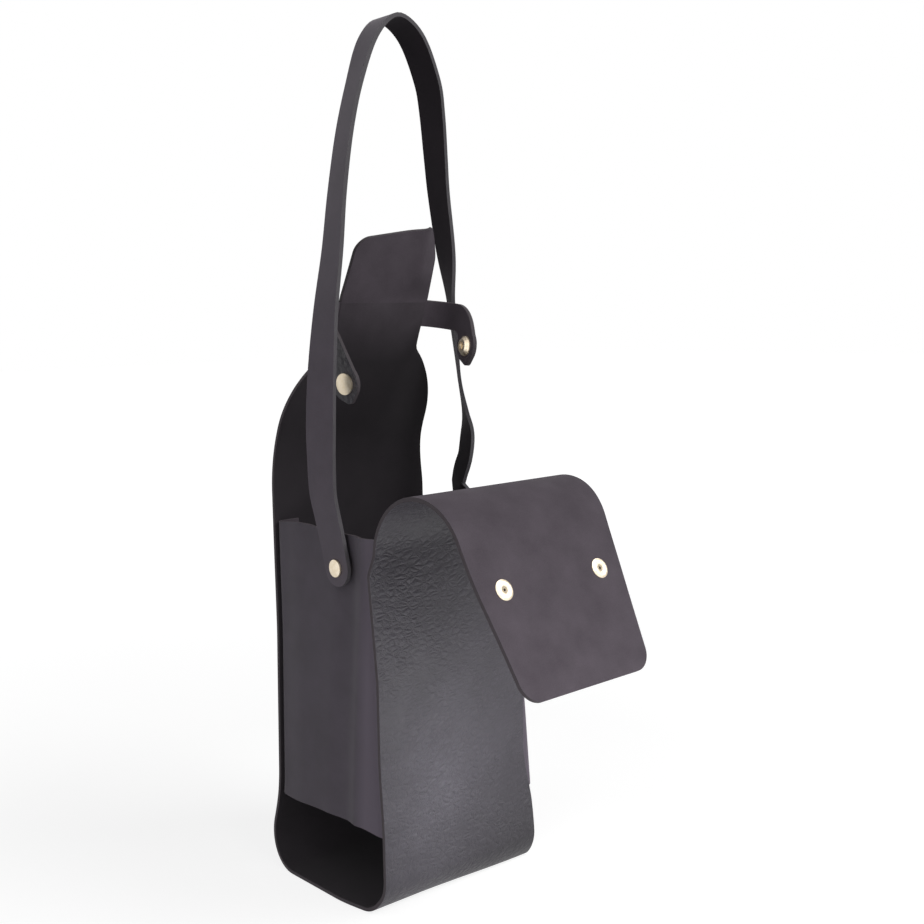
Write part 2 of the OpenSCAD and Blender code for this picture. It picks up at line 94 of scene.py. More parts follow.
def blank(columns, count, at, thick, ease=0.35, joined=(False, False)):
    """A flat piece of leather. at(u, i) is the point of row i at u from -1 to 1 across it."""
    bm = bmesh.new()
    bmesh.ops.create_grid(bm, x_segments=columns, y_segments=count - 1, size=0.5)
    ends = (set(), set())
    for v in bm.verts:
        i = round((v.co.y + 0.5) * (count - 1))
        x, y = at(2 * v.co.x, i)
        v.co = (x, y, 0)
        for end, row in enumerate((0, count - 1)):
            if i == row and joined[end]:
                ends[end].add((round(x, 3), round(y, 3)))
    bmesh.ops.recalc_face_normals(bm, faces=bm.faces)
    bmesh.ops.solidify(bm, geom=bm.faces[:], thickness=thick)
    middle = sum(v.co.z for v in bm.verts) / len(bm.verts)
    bmesh.ops.translate(bm, verts=bm.verts, vec=(0, 0, -middle))
    bmesh.ops.recalc_face_normals(bm, faces=bm.faces)

    def rim(edge):
        flat = [abs(f.normal.z) > UPRIGHT for f in edge.link_faces]
        keys = [(round(v.co.x, 3), round(v.co.y, 3)) for v in edge.verts]
        return sum(flat) == 1 and not any(all(k in end for k in keys) for end in ends)

    bmesh.ops.bevel(bm, geom=[e for e in bm.edges if rim(e)], offset=ease, segments=2, profile=0.5,
                    affect="EDGES", material=-1, clamp_overlap=True)
    return bm


# %% Punching holes
def punch(bm, holes):
    """Cuts round holes, each (x, y, diameter), through a flat blank."""
    sheet = bpy.data.meshes.new("sheet")
    bm.to_mesh(sheet)
    bm.free()
    cutter = bmesh.new()
    for x, y, d in holes:
        bmesh.ops.create_cone(cutter, segments=32, radius1=d / 2, radius2=d / 2, depth=PUNCH_DEPTH,
                              cap_ends=True, matrix=Matrix.Translation((x, y, 0)))
    tool_mesh = bpy.data.meshes.new("punch")
    cutter.to_mesh(tool_mesh)
    cutter.free()
    work = [put(m.name, m) for m in (sheet, tool_mesh)]
    step = work[0].modifiers.new("punch", "BOOLEAN")
    step.object, step.operation, step.solver = work[1], "DIFFERENCE", "EXACT"
    cut = work[0].evaluated_get(bpy.context.evaluated_depsgraph_get())
    done = bpy.data.meshes.new_from_object(cut)
    out = bmesh.new()
    out.from_mesh(done)
    for o in work:
        bpy.data.objects.remove(o)
    for m in (sheet, tool_mesh, done):
        bpy.data.meshes.remove(m)
    print("punched", len(holes), "holes")
    return out


# %% Bending a blank and storing it
def piece(name, bm, place, materials):
    """Bends a flat blank with place(x, y, through) into an object of inner, outer and edge material."""
    uv = bm.loops.layers.uv.get("hide") or bm.loops.layers.uv.new("hide")
    bm.normal_update()
    for f in bm.faces:
        f.smooth = True
        f.material_index = 0 if f.normal.z > UPRIGHT else 1 if f.normal.z < -UPRIGHT else 2
        for loop in f.loops:
            loop[uv].uv = (loop.vert.co.x * MM, loop.vert.co.y * MM)
    for e in bm.edges:
        if len(e.link_faces) == 2 and e.calc_face_angle() > SHARP:
            e.smooth = False
    for v in bm.verts:
        v.co = place(*v.co)
    bmesh.ops.scale(bm, vec=(MM, MM, MM), verts=bm.verts)
    if bm.calc_volume(signed=True) < 0:
        bmesh.ops.reverse_faces(bm, faces=bm.faces)
    mesh = bpy.data.meshes.new(name)
    bm.to_mesh(mesh)
    bm.free()
    for m in materials:
        mesh.materials.append(m)
    obj = put(name, mesh)
    even = obj.modifiers.new("even shading", "WEIGHTED_NORMAL")
    even.weight, even.keep_sharp = 60, True
    print(name, len(mesh.vertices), "points", len(mesh.polygons), "faces")
    return obj


# %% [markdown]
# ## The side profile
# Front, base, back, neck and flap are one strip, so its side view is a single line of straight
# lengths and round bends. A step is [straight length, bend radius, turn in degrees], the same
# way that the CAD source draws it, and walk() gives the place and heading after any distance.

# %% Walking along a line of steps
def walk(start, steps, s):
    """Place (a, b, heading) after s mm from start, and straight on before and after the steps."""
    a, b, h = start
    if s < 0:
        return a + s * cos(radians(h)), b + s * sin(radians(h)), h
    for length, radius, turn in steps:
        go = min(s, length)
        a, b, s = a + go * cos(radians(h)), b + go * sin(radians(h)), s - go
        if s <= 0:
            return a, b, h
        side = -1 if turn < 0 else 1
        bend = min(s, radius * radians(abs(turn)))
        if radius > 0:
            new = h + side * degrees(bend / radius)
            a += side * radius * (sin(radians(new)) - sin(radians(h)))
            b -= side * radius * (cos(radians(new)) - cos(radians(h)))
            h, s = new, s - bend
        if s <= 0:
            return a, b, h
    return a + s * cos(radians(h)), b + s * sin(radians(h)), h


def length_of(steps):
    return sum(length + radius * radians(abs(turn)) for length, radius, turn in steps)


def ramp(x, a, b):
    """0 before a, 1 after b and smooth between them."""
    t = min(max((x - a) / (b - a), 0), 1)
    return t * t * (3 - 2 * t)


def spread(a, b, gap):
    """Positions from a to b, about gap apart."""
    n = max(1, round(abs(b - a) / gap))
    return [a + (b - a) * k / n for k in range(n + 1)]


# %% [markdown]
# ## Finishes
# The hide is black and pebbled on its grain face and plain on its inner face. Photographed
# black leather is really a dark warm grey, with a soft gloss on the tops of the pebbles. The
# cut edge is dyed too, and shows matt fibres between the two faces. Each finish below is made of
# noise in the leather's own flat measure, so one pebble is a few millimetres wide wherever it
# lies, and a place on the hide can be named: a patch low on the front gets a painted sheen, its
# lower right gets painted shade, and the inner face gets painted shade deep inside.

# %% Small helpers for materials
def shade(r, g, b):
    """A screen colour, 0 to 255, as Blender's linear colour."""
    linear = [((c / 255 + 0.055) / 1.055) ** 2.4 if c > 10 else c / 255 / 12.92 for c in (r, g, b)]
    return (*linear, 1)


class Finish:
    """A material, or a world, whose nodes are added by kind, with inputs given by name."""

    def __init__(self, name, world=None):
        self.material = world or bpy.data.materials.new(name)
        self.material.use_nodes = True
        self.nodes, self.links = self.material.node_tree.nodes, self.material.node_tree.links
        self.shader = self.nodes.get("Principled BSDF")

    def add(self, kind, inputs=(), **settings):
        node = self.nodes.new("ShaderNode" + kind)
        for key, value in settings.items():
            setattr(node, key, value)
        self.feed(node, dict(inputs))
        return node

    def feed(self, node, inputs):
        for key, value in inputs.items():
            if isinstance(value, bpy.types.NodeSocket):
                self.links.new(value, node.inputs[key])
            else:
                node.inputs[key].default_value = value

    def maths(self, operation, a, b=0.0, c=0.0):
        return self.add("Math", {0: a, 1: b, 2: c}, operation=operation).outputs[0]

    def map(self, value, low, high, to_low=0.0, to_high=1.0):
        ranges = {"From Min": low, "From Max": high, "To Min": to_low, "To Max": to_high}
        return self.add("MapRange", {"Value": value, **ranges}).outputs[0]

    def mix(self, factor, a, b):
        return self.add("Mix", {0: factor, 6: a, 7: b}, data_type="RGBA").outputs[2]

    def flat(self, stretch=(1, 1, 1)):
        """The leather's flat measure in mm, from its UV map."""
        uv = self.add("UVMap", uv_map="hide").outputs[0]
        scale = [1000 * c for c in stretch]
        return self.add("Mapping", {"Vector": uv, "Scale": scale}).outputs[0]

    def solid(self):
        """Places in the piece in mm, for what doesn't follow a surface."""
        place = self.add("TexCoord").outputs["Object"]
        return self.add("Mapping", {"Vector": place, "Scale": (1000, 1000, 1000)}).outputs[0]

    def noise(self, vector, scale, detail=2.0, rough=0.5, distortion=0.0):
        settings = {"Scale": scale, "Detail": detail, "Roughness": rough, "Distortion": distortion}
        return self.add("TexNoise", {"Vector": vector, **settings}).outputs[0]

    def cells(self, vector, scale):
        """Distance to the nearest edge between the cells of a pebbled pattern."""
        inputs = {"Vector": vector, "Scale": scale, "Randomness": 1.0}
        return self.add("TexVoronoi", inputs, feature="DISTANCE_TO_EDGE").outputs["Distance"]


# %% Grain face
# Where the painted sheen lies on the front: its centre, its turn and its size.
SHEEN_PATCH_AT, SHEEN_PATCH_TURN, SHEEN_PATCH_SIZE = (15.0, -158.0, 0.0), radians(-25), (1 / 50, 1 / 78, 0)
# Where the front's lower right gets painted shade: the distances along and across.
PAINTED_SHADE_DOWN, PAINTED_SHADE_ACROSS = (155, 205), (-30, 40)


def grain_face(name, dark, light, sheen_tone, gloss):
    """Pebbles with domed tops, a painted sheen low on the front, and painted shade at its lower right.
    """
    f = Finish(name)
    flat = f.flat()
    # Two sizes of pebble. The larger ones are stretched on a slant, and wander a little.
    drift = f.add("TexNoise", {"Vector": flat, "Scale": 0.35, "Detail": 2.0}).outputs["Color"]
    wander = f.add("VectorMath", {0: drift, 1: (1.6, 1.6, 0)}, operation="MULTIPLY").outputs[0]
    bent = f.add("VectorMath", {0: flat, 1: wander}, operation="ADD").outputs[0]
    stretch = {"Rotation": (0, 0, radians(32)), "Scale": (0.7, 1.2, 1)}
    slant = f.add("Mapping", {"Vector": bent, **stretch}).outputs[0]
    dome = f.map(f.cells(slant, 0.31), 0.0, 0.34)
    fine = f.map(f.cells(bent, 0.95), 0.0, 0.25)
    swell = f.noise(flat, 0.16, 3)
    # The painted sheen patch is an ellipse with a ragged rim.
    turned = f.add("Mapping", {"Vector": flat, "Location": SHEEN_PATCH_AT}).outputs[0]
    turn = {"Rotation": (0, 0, SHEEN_PATCH_TURN), "Scale": SHEEN_PATCH_SIZE}
    turned = f.add("Mapping", {"Vector": turned, **turn}).outputs[0]
    reach = f.add("VectorMath", {0: turned}, operation="LENGTH").outputs["Value"]
    ragged = f.maths("MULTIPLY_ADD", f.noise(flat, 0.05, 3), 0.5, reach)
    sheen_patch = f.map(ragged, 0.35, 1.45, 1.0, 0.0)
    sheen_patch = f.maths("MULTIPLY", sheen_patch, sheen_patch)
    across, along = f.add("SeparateXYZ", {0: flat}).outputs[:2]
    # Painted shade: a mask that grows towards the front's lower right.
    rightwards = f.map(across, *PAINTED_SHADE_ACROSS, 0.1, 1.0)
    foot = f.maths("MULTIPLY", f.map(along, *PAINTED_SHADE_DOWN), rightwards)
    # The pebbles stand out in random worn places and in the painted sheen patch, and less elsewhere.
    wear_and_sheen = f.map(f.noise(flat, 0.045, 3, 0.55), 0.36, 0.64, 0.18, 0.55)
    wear_and_sheen = f.maths("MAXIMUM", wear_and_sheen, sheen_patch)
    relief = f.maths("MULTIPLY_ADD", dome, 0.80, f.maths("MULTIPLY", fine, 0.24))
    height = f.maths("MULTIPLY_ADD", swell, 0.7, f.maths("MULTIPLY", relief, wear_and_sheen))
    bump = f.add("Bump", {"Height": height, "Strength": 1.0, "Distance": 0.00065})
    patches = f.maths("MULTIPLY", f.noise(flat, 0.03, 4), 0.6)
    tone = f.maths("MULTIPLY_ADD", f.maths("MULTIPLY", dome, wear_and_sheen), 0.45, patches)
    colour = f.mix(tone, shade(*dark), shade(*light))
    # Painted sheen: the patch is mixed towards its paler tone.
    colour = f.mix(f.maths("MULTIPLY", sheen_patch, 0.62), colour, shade(*sheen_tone))
    # Painted shade at the front's lower right.
    colour = f.mix(foot, colour, shade(*[0.85 * c for c in dark]))
    f.feed(f.shader, {"Base Color": colour, "Normal": bump.outputs[0],
                      "Roughness": f.map(tone, 0.0, 1.1, gloss + 0.16, gloss - 0.04),
                      "Specular IOR Level": 0.40})
    return f.material


# The third colour is the paler tone of the painted sheen.
grain = grain_face("pebbled grain", (48, 45, 51), (72, 68, 77), (108, 105, 114), 0.35)


# %% Inner face and smooth leather
# Where the gusset's painted light runs: the middle height and the slant of its edge.
FOLD_MIDDLE, FOLD_SLANT = 110.0, 0.07


def smooth_face(name, dark, light, rough, nap, depth, sheen, shine, deep=None, fold=None):
    """Leather with a fine nap. deep: four distances along, with painted shade, a darker face, between
    the middle two. fold: the distance across, at middle height, up to which the face is paler, a
    painted light."""
    f = Finish(name)
    flat = f.flat()
    fibres = f.noise(f.flat(stretch=(1.0, 0.6, 1)), 2.6, 4, 0.62, 0.6)
    pores = f.noise(flat, 0.9, 3, 0.5)
    clouds = f.noise(flat, 0.045, 4, 0.55)
    height = f.maths("MULTIPLY_ADD", fibres, nap, f.maths("MULTIPLY", pores, 0.5))
    bump = f.add("Bump", {"Height": height, "Strength": 0.7, "Distance": depth})
    tone = f.maths("MULTIPLY_ADD", fibres, 0.55, f.maths("MULTIPLY", clouds, 0.75))
    colour = f.mix(f.map(tone, 0.35, 0.95), shade(*dark), shade(*light))
    across, along = f.add("SeparateXYZ", {0: flat}).outputs[:2]
    # Painted light: a strip of the face, up to the given distance across, is paler.
    if fold:
        beyond = f.maths("MULTIPLY_ADD", f.maths("SUBTRACT", along, FOLD_MIDDLE), FOLD_SLANT, across)
        before = f.map(beyond, fold - 5.0, fold + 2.0, 1.0, 0.0)
        colour = f.mix(before, colour, shade(*[1.15 * c for c in light]))
    # Painted shade: the face between the middle two distances along is darker.
    if deep:
        inside = f.maths("MULTIPLY", f.map(along, *deep[:2]), f.map(along, *deep[2:], 1.0, 0.0))
        colour = f.mix(f.maths("MULTIPLY", inside, 0.8), colour, shade(*[0.55 * c for c in dark]))
    f.feed(f.shader, {"Base Color": colour, "Normal": bump.outputs[0],
                      "Roughness": f.map(fibres, 0.2, 0.8, rough - 0.05, rough + 0.07),
                      "Specular IOR Level": shine, "Sheen Weight": sheen, "Sheen Roughness": 0.6})
    return f.material


# Each line gives dark and light tone, roughness, nap and depth of its relief, sheen and gloss.
inner = smooth_face("inner face", (63, 57, 63), (89, 82, 89), 0.80, 0.5, 0.00009, 0.03, 0.10)
# The wrap's inner face is a darker copy of the inner face, with painted shade deep inside.
inner_painted_shade = smooth_face("inner face with painted shade", (59, 54, 59), (82, 76, 82), 0.80, 0.5, 0.00009, 0.03, 0.10,
                         deep=(30, 120, 560, 592))
# The gusset's strip in front of its crease gets painted light.
web = smooth_face("gusset leather", (56, 51, 58), (75, 69, 78), 0.66, 0.3, 0.00004, 0.05, 0.25,
                  fold=23.0)
band = smooth_face("strap leather", (62, 56, 64), (82, 75, 84), 0.62, 0.25, 0.00004, 0.05, 0.25)
band_inside = smooth_face("strap inner face", (32, 28, 32), (44, 39, 44), 0.80, 0.4, 0.00006, 0.02,
                          0.08)


# %% Cut edge
def cut_edge(name, dark, light):
    f = Finish(name)
    place = f.solid()
    fibres = f.noise(place, 1.7, 4, 0.65)
    wear = f.noise(place, 0.12, 3, 0.5)
    bump = f.add("Bump", {"Height": fibres, "Strength": 0.5, "Distance": 0.00008})
    tone = f.maths("MULTIPLY_ADD", fibres, 0.5, f.maths("MULTIPLY", wear, 0.5))
    f.feed(f.shader, {"Base Color": f.mix(tone, shade(*dark), shade(*light)), "Normal": bump.outputs[0],
                      "Roughness": 0.72, "Specular IOR Level": 0.3})
    return f.material


edge = cut_edge("cut edge", (48, 43, 47), (68, 62, 66))
strap_edge = cut_edge("strap edge", (54, 52, 55), (86, 83, 87))


# %% Brass and spring steel
def metal(name, dark, light, rough):
    f = Finish(name)
    place = f.solid()
    tarnish = f.noise(place, 0.5, 4, 0.6)
    brush = f.noise(place, 3.0, 3, 0.5)
    bump = f.add("Bump", {"Height": brush, "Strength": 0.25, "Distance": 0.00003})
    colour = f.mix(f.map(tarnish, 0.3, 0.7), shade(*dark), shade(*light))
    f.feed(f.shader, {"Base Color": colour, "Metallic": 1.0, "Normal": bump.outputs[0],
                      "Roughness": f.map(tarnish, 0.3, 0.7, rough - 0.05, rough + 0.08)})
    return f.material


brass = metal("pale brass", (216, 200, 172), (232, 221, 202), 0.44)
# A darker copy of the brass, for painted shade in the eyelets' hollows.
hollow = metal("brass with painted shade", (136, 126, 110), (168, 157, 139), 0.60)
steel = metal("spring steel", (150, 148, 145), (196, 194, 190), 0.28)
print(len(bpy.data.materials), "materials")

# %% [markdown]
# ## Wrap: front, base, back and neck
# The long strip starts at the crest of the rolled top, comes down the front, turns under the
# base, flares out at the heel, and climbs the back, which leans forwards into the neck. Real
# leather held by glue isn't a perfect box: the front spreads a little towards the base, its
# bottom bend is softer on one side than on the other, and the panels swell very slightly. These
# are small moves added on top of the CAD's line.

# %% Measures of the wrap
HIDE = 2.0
HALF, NECK_HALF = 50.0, 28.0
ROLL = (-72.0, 176.5, 31.0)
CREST = 76.0
FRONT_Y, BACK_Y, BACK_TOP, MID_Z = -41.0, 41.0, 200.0, 1.0
TOE_WIDE, TOE_TURN, TOE_TIGHT, TOE_SPREAD = 20.0, 42.0, 6.5, 4.0
HEEL = [[0, 19, 101.3], [13.5, 100, -9.1], [70, 220, -2.2]]
LEAN = [80, 22]
crest_y = ROLL[0] + ROLL[2] * cos(radians(CREST))
crest_z = ROLL[1] + ROLL[2] * sin(radians(CREST))
crest_place = (crest_y, crest_z, 270 + CREST)
roll_part = ROLL[2] * radians(CREST)


def wrap_steps(x):
    """The wrap's side view at x. Its toe is two bends, and the lower one is wider on the left."""
    y, z, h = walk((0, 0, 0), HEEL, 1e-9 + length_of(HEEL))
    tight = TOE_TIGHT - TOE_SPREAD * x / HALF
    toe = [0, TOE_WIDE, TOE_TURN], [0, tight, 90 - TOE_TURN]
    deep, tall, h = walk((0, 0, 0), toe, 1e-9 + length_of(toe))
    drop = ROLL[1] - MID_Z - deep
    base = BACK_Y - y - (FRONT_Y + tall)
    up = BACK_TOP - (MID_Z + z)
    return [[0, ROLL[2], -CREST], [drop, TOE_WIDE, TOE_TURN], toe[1],
            [base, *HEEL[0][1:]], HEEL[1], HEEL[2], [up, *LEAN]]


nominal = wrap_steps(0)
to_heel = length_of(nominal[:4])
lean_end = length_of(nominal)
neck_up, TONGUE_LAP = 73.28, 3.0
wrap_end = lean_end + neck_up - TONGUE_LAP
print("wrap is", round(wrap_end, 1), "mm long, and its neck starts at", round(lean_end, 1))


# %% Outline of the wrap
def soft_max(a, b, r):
    """The larger of two lengths, with a fillet where they meet."""
    return 0.5 * (a + b + sqrt((a - b) ** 2 + r * r))


DOME_START = 2.28  # where the round shoulders begin, past the start of the neck's lean
ROW, CLOSE_ROW = 2.1, 1.0


def wrap_half(s):
    """Half width of the wrap at s: straight sides, round shoulders, then the neck."""
    if s < lean_end - 20:
        return HALF
    up = s - lean_end
    dome = sqrt(max(HALF ** 2 - max(up - DOME_START, 0) ** 2, 1))
    return soft_max(dome, NECK_HALF, 3.0) - 0.10 if up < 60 else NECK_HALF


short_rows = [0, 0.12, 0.35, 0.8, 1.5]
toe_start, toe_end = roll_part + 152, roll_part + 190
wrap_rows = (short_rows + spread(short_rows[-1], toe_start, ROW)[1:]
             + spread(toe_start, toe_end, CLOSE_ROW)[1:]
             + spread(toe_end, wrap_end - short_rows[-1], ROW)[1:-1]
             + [wrap_end - c for c in reversed(short_rows)])
bm = blank(44, len(wrap_rows), lambda u, i: (u * wrap_half(wrap_rows[i]), wrap_rows[i]), HIDE,
           joined=(True, True))


# %% Bending the wrap
FLARE = 3.6  # how far the top left corner of the front stands out
WAIST = 1.5  # and how far the left edge is drawn in lower down
FOOT = 4.2  # how much wider the left side is at the base
NARROW = 3.8  # how far the right edge is drawn in beside the flap
PULLED_OUT, PULLED_ASIDE = 3.0, 0.6  # the lower right of the front, filled out from inside
LIMP = 3.5  # the right shoulder hangs back


def swell(x, s, size, seed):
    """A slow, shallow unevenness of a panel, in mm."""
    return size * noise.noise(Vector((x / 46, s / 60, seed)))


def wrap_place(x, s, n):
    steps = wrap_steps(x)
    there = length_of(steps[:4])
    if s > roll_part:
        part = (s - roll_part) / (to_heel - roll_part)
        s2 = roll_part + part * (there - roll_part) if part < 1 else s - to_heel + there
    else:
        s2 = s
    y, z, h = walk(crest_place, steps, s2)
    calm = ramp(s, 20, 60) * (1 - ramp(s, wrap_end - 60, wrap_end - 10))
    n += swell(x, s, 0.35 * calm, 3.1)
    shoulder = ramp(s, lean_end - 38, lean_end - 6) * (1 - ramp(s, lean_end + 30, lean_end + 52))
    n -= LIMP * ramp(x, 15, 50) * shoulder
    down = s - roll_part
    flare = FLARE * ramp(down, -3, 9) * min(max((60 - down) / 51, 0), 1)
    waist = WAIST * ramp(down, 95, 140) * (1 - ramp(down, 165, 180))
    foot = FOOT * ramp(down, 165, 203) * (1 - ramp(down, 238, 290))
    narrow = NARROW * ramp(down, 50, 90) * (1 - ramp(down, 112, 146))
    pulled = ramp(x, -25, 50) * ramp(down, 122, 165) * (1 - ramp(down, 185, 225))
    x += ramp(-x, 15, 50) * (waist - flare - foot) - ramp(x, 28, 50) * narrow
    x, y = x + PULLED_ASIDE * pulled, y - PULLED_OUT * pulled
    return Vector((x, y - n * sin(radians(h)), z + n * cos(radians(h))))


wrap = piece("wrap_leather_piece", bm, wrap_place, (inner_painted_shade, grain, edge))
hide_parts("body_wrap", "flap_roll")
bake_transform(wrap)

# %% [markdown]
# ## Flap
# The flap is the same hide, and only starts a new mesh at the crest of the roll, because a mesh
# can bend between two bodies and no more. Both meshes are cut across the same line with a few
# very short rows, so that their shading meets as well as their edges.

# %% Outline of the flap
FLAP_ARC = 2 * ROLL[2] * radians(38)
FLAP_LEN, FLAP_R, SWAY = 74.0, 9.0, 3.5
flap_end = FLAP_ARC + FLAP_LEN


def line_through(points, s):
    for (s0, x0), (s1, x1) in zip(points, points[1:]):
        if s <= s1:
            return x0 + (x1 - x0) * (s - s0) / (s1 - s0)
    return points[-1][1]


def smooth_line(points, s, reach=7.0):
    """The line through some points, with its corners rounded."""
    taps = [-1, -0.6, -0.25, 0, 0.25, 0.6, 1]
    room = min(reach, s)
    return sum(line_through(points, s + t * room) for t in taps) / len(taps)


corner = flap_end - FLAP_R
right_side = [(0, HALF), (20.56, 48.3), (FLAP_ARC, 45.0), (corner, 37.5), (flap_end + 20, 34.6)]
left_side = [(0, -HALF), (FLAP_ARC + 17.3, -HALF), (corner, -44.5), (flap_end + 20, -41.2)]


def flap_at(u, i):
    s = flap_rows[i]
    over = max(s - corner, 0)
    inset = FLAP_R - sqrt(max(FLAP_R ** 2 - over ** 2, 0))
    inset = min(inset, FLAP_R - 0.4)
    left, right = smooth_line(left_side, s) + inset, smooth_line(right_side, s) - inset
    return (left + right) / 2 + u * (right - left) / 2, s


turns = (7, 14, 21, 28, 35, 42, 49, 56, 63, 70, 77, 83, 87.5)
flap_rows = short_rows + spread(short_rows[-1], corner, ROW)[1:]
flap_rows += [corner + FLAP_R * sin(radians(a)) for a in turns]
bm = blank(44, len(flap_rows), flap_at, HIDE, joined=(True, False))
SNAP_HOLE, RIVET_HOLE = 2.6, 3.2
snap_s, snap_x = FLAP_ARC + 24.0, (-31.0 - SWAY, 31.0 - SWAY)
bm = punch(bm, [(x, snap_s, SNAP_HOLE) for x in snap_x])


# %% Bending the flap
def flap_place(x, s, n):
    y, z, h = walk((crest_y, crest_z, 90 + CREST), [[0, ROLL[2], CREST]], s)
    n += swell(x, s, 0.5 * ramp(s, 20, 60) * min(abs(s - snap_s) / 20, 1), 8.4)
    return Vector((x, y + n * sin(radians(h)), z - n * cos(radians(h))))


flap = piece("flap_leather", bm, flap_place, (inner, grain, edge))
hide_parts("closing_flap")
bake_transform(flap)

# %% [markdown]
# ## Tongue
# Above the arms the neck runs on as a tongue that folds forwards over the mouth. The fold line
# belongs to the tongue's mesh, which starts three millimetres below it. Its free end is cut at
# a slant, lower on the left. Towards the right it curls forwards as far as a soft crease, and
# the margin beyond the crease turns back again, as leather does that has been folded often.

# %% The neck's own directions
NECK = Vector((0, 35.175, 229.969))
UP = Vector((0, cos(radians(112)), sin(radians(112))))
FORE = Vector((0, -sin(radians(112)), cos(radians(112))))
TONGUE, TONGUE_TIP, TONGUE_SLANT, TONGUE_R = 34.0, 51.0, 8.0, 8.0

tongue_rows = [-TONGUE_LAP + c for c in short_rows] + spread(-1.5, TONGUE - TONGUE_R, 1.5)[1:]
turns = (8, 16, 24, 32, 40, 48, 56, 64, 72, 80, 86.5)
tongue_rows += [TONGUE - TONGUE_R + TONGUE_R * sin(radians(a)) for a in turns]


def tongue_at(u, i):
    s = tongue_rows[i]
    side = (NECK_HALF * (TONGUE - s) + TONGUE_TIP / 2 * s) / TONGUE if s > 0 else NECK_HALF
    over = max(s - (TONGUE - TONGUE_R), 0)
    inset = min(TONGUE_R - sqrt(max(TONGUE_R ** 2 - over * over, 0)), TONGUE_R - 0.4)
    x = u * side - inset * (u if u < 0 else 0.7 * u)
    return x, s * (1 + x * TONGUE_SLANT / TONGUE_TIP / TONGUE * ramp(s, 0, 10))


bm = blank(24, len(tongue_rows), tongue_at, HIDE, joined=(True, False))


def tongue_place(x, s, n):
    up = s + neck_up
    rise = ramp(s, -2, 14)
    lift = sum(0.013 * min(max(x + t - 4, 0), 14.5) ** 2 - 0.14 * max(x + t - 18.5, 0)
               for t in (-1, 0, 1)) / 3
    n += rise * lift + swell(x, s, 0.3 * ramp(s, 0, 12), 5.7)
    n -= 3.6 * ramp(x, 14, 27) * ramp(s, 20, 36)
    x -= rise * (1.2 * ramp(x, 8, 20) + 1.0 * ramp(x, 18, 27) * ramp(s, 20, 36))
    return NECK + Vector((x, 0, 0)) + UP * up + FORE * n


tongue = piece("tongue_leather", bm, tongue_place, (inner, grain, edge))
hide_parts("top_tongue")
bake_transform(tongue)

# %% [markdown]
# ## Arms
# Two narrow arms grow out of the neck's edges, turn forwards round a bend of 11 mm, and curl
# down to a leaf shaped end with a snap. Each is drawn in the flat round its centre line. The
# left one droops, and the right one rises before it curls, so the two blanks differ.

# %% Outline of an arm
ARM_UP, ARM_W, LEAF_R, TIP_R, TIP_LEN = 63.78, 14.0, 8.5, 3.23, 6.8
ROOT_X, BEND_R = 29.3, 11.0
BEND_LEN = BEND_R * pi / 2
SLOPE = asin((LEAF_R - TIP_R) / TIP_LEN)
SHOULDER, TIP_START = LEAF_R * sin(SLOPE), TIP_LEN + TIP_R * sin(SLOPE)


def arm_centre_line(rise, steps):
    """Stations (a, b, heading, distance past the snap) down the middle of an arm, in the flat."""
    rows = []
    climb = tan(radians(rise))
    for a in spread(-1.3, BEND_LEN, 1.2):
        turn = max(a, 0) / BEND_R
        heading = degrees(atan2(climb * sin(turn), 1))
        rows.append((a, ARM_UP + climb * BEND_R * (1 - cos(turn)), heading, None))
    start, first = (0, ARM_UP, rise), BEND_R / cos(radians(rise))
    total = length_of(steps)
    down = spread(first, total - 9, 1.2)[1:] + spread(total - 9, total + SHOULDER, 0.6)[1:]
    down += spread(total + SHOULDER, total + TIP_START, 0.67)[1:]
    down += [total + TIP_LEN + TIP_R * sin(radians(a)) for a in (58, 64, 70, 76, 82, 86)]
    for s in down:
        z, y, h = walk(start, steps, s)
        rows.append((z + BEND_LEN - BEND_R, y, h, s - total))
    return rows


def leaf_half(d):
    """Half width of an arm at d past its snap."""
    band_half = ARM_W / 2
    if d is None or d < -8.4:
        return band_half
    if d < SHOULDER:
        round_half = sqrt(LEAF_R ** 2 - d * d)
        return soft_max(band_half, round_half, 1.2) - 0.1 if d < 0 else round_half
    if d < TIP_START:
        share = (d - SHOULDER) / (TIP_START - SHOULDER)
        return (LEAF_R * (1 - share) + TIP_R * share) * cos(SLOPE)
    return max(sqrt(max(TIP_R ** 2 - (d - TIP_LEN) ** 2, 0)), 0.3)


# %% Bending an arm
def arm_bend(side, turn):
    """Sends the flat arm round its bend, turns it about its fold line and sets it on the neck."""
    c, s = cos(radians(turn)), sin(radians(turn))

    def place(a, b, n):
        angle = min(max(a, 0), BEND_LEN) / BEND_R
        rest = a - BEND_R * angle
        x = ROOT_X + BEND_R * sin(angle) + rest * cos(angle) - n * sin(angle)
        z = BEND_R * (1 - cos(angle)) + rest * sin(angle) + n * cos(angle)
        x, z = ROOT_X + (x - ROOT_X) * c - z * s, (x - ROOT_X) * s + z * c
        return NECK + Vector((side * x, 0, 0)) + UP * b + FORE * z

    return place


def make_arm(name, side, rise, steps, turn, body):
    rows = arm_centre_line(rise, steps)

    def at(u, i):
        a, b, h, d = rows[i]
        half = leaf_half(d)
        return a - u * half * sin(radians(h)), b + u * half * cos(radians(h))

    bm = blank(12, len(rows), at, HIDE)
    z, y, h = walk((0, ARM_UP, rise), steps, length_of(steps))
    bm = punch(bm, [(z + BEND_LEN - BEND_R, y, SNAP_HOLE)])
    arm = piece(name, bm, arm_bend(side, turn), (inner, grain, edge))
    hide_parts(body.split("_")[1] + "_arm")
    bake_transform(arm)


make_arm("left_arm_leather", -1, -40, [[29, 12, -12], [5, 0, 0]], 8, "arm_left")
make_arm("right_arm_leather", 1, 16, [[16, 12, -74], [5, 0, 0]], 14, "arm_right")

